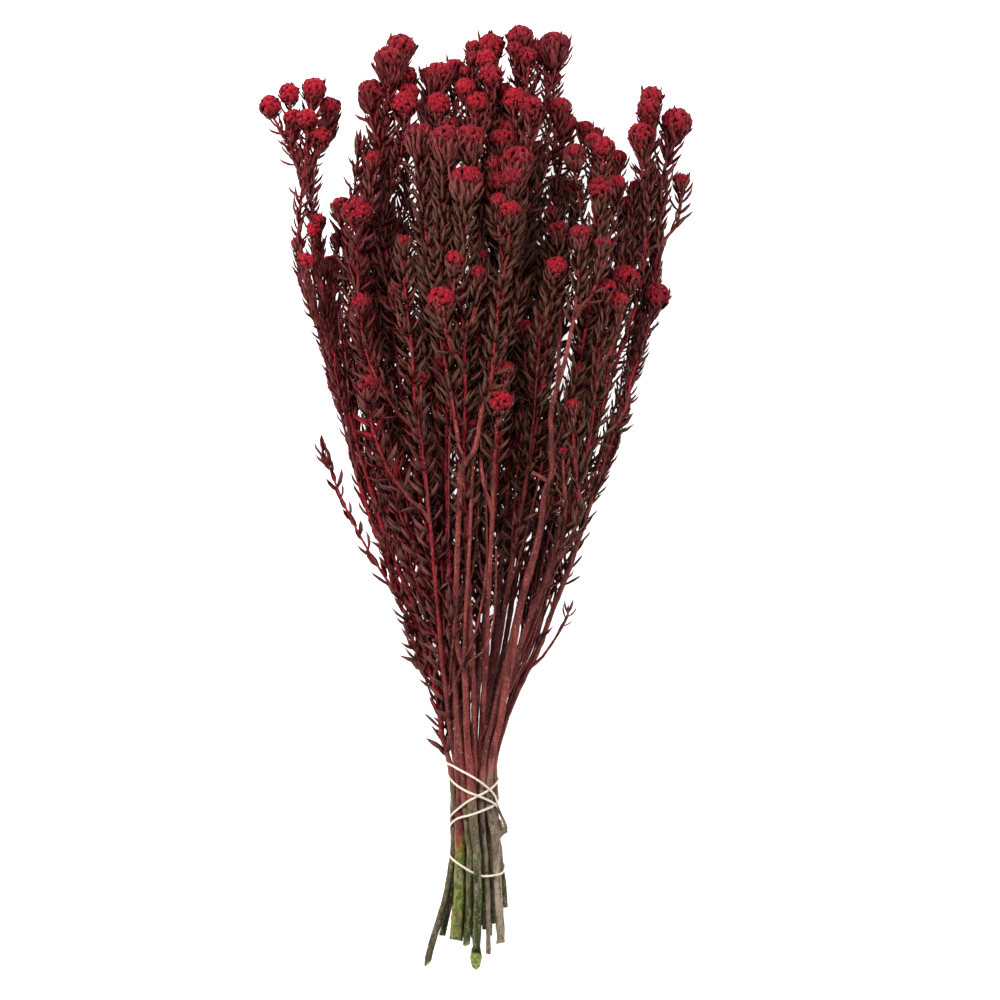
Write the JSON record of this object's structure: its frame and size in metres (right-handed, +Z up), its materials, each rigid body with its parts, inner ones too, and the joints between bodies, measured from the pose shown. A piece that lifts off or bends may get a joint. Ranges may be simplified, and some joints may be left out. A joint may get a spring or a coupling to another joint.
{
  "type": "dried flower bunch",
  "caption": "Bunch of dried phylica lying down: woody stems with narrow leaves and crimson-dyed flower heads, tied with a cream elastic band.",
  "frame": {"origin": "middle of the bunch's footprint, on the surface that it lies on", "axes": "+Y along the bunch from the cut ends to the flower heads, +X to the right in the picture, +Z up out of the surface"},
  "size_m": [0.2787, 0.5997, 0.1129],
  "materials": {
    "branch": "dry matte",
    "bark": "dry matte, dyed red above the tie",
    "leaf": "dry matte",
    "bract": "dry matte",
    "floret": "fuzzy",
    "cut_wood": "fresh cut",
    "elastic": "matte"
  },
  "bodies": {
    "root": {"branch_01": "branch", "branch_02": "branch", "branch_03": "branch", "branch_04": "branch", "branch_05": "branch", "branch_06": "branch", "branch_07": "branch", "branch_08": "branch", "branch_09": "branch", "branch_10": "branch", "branch_11": "branch", "branch_12": "branch", "branch_13": "branch", "branch_14": "branch", "branch_15": "branch", "branch_16": "branch", "branch_17": "branch", "branch_18": "branch", "branch_19": "branch", "branch_20": "branch", "branch_21": "branch", "branch_22": "branch", "branch_23": "branch", "branch_24": "branch", "branch_25": "branch", "tie_band": "elastic"}
  },
  "joints": []
}
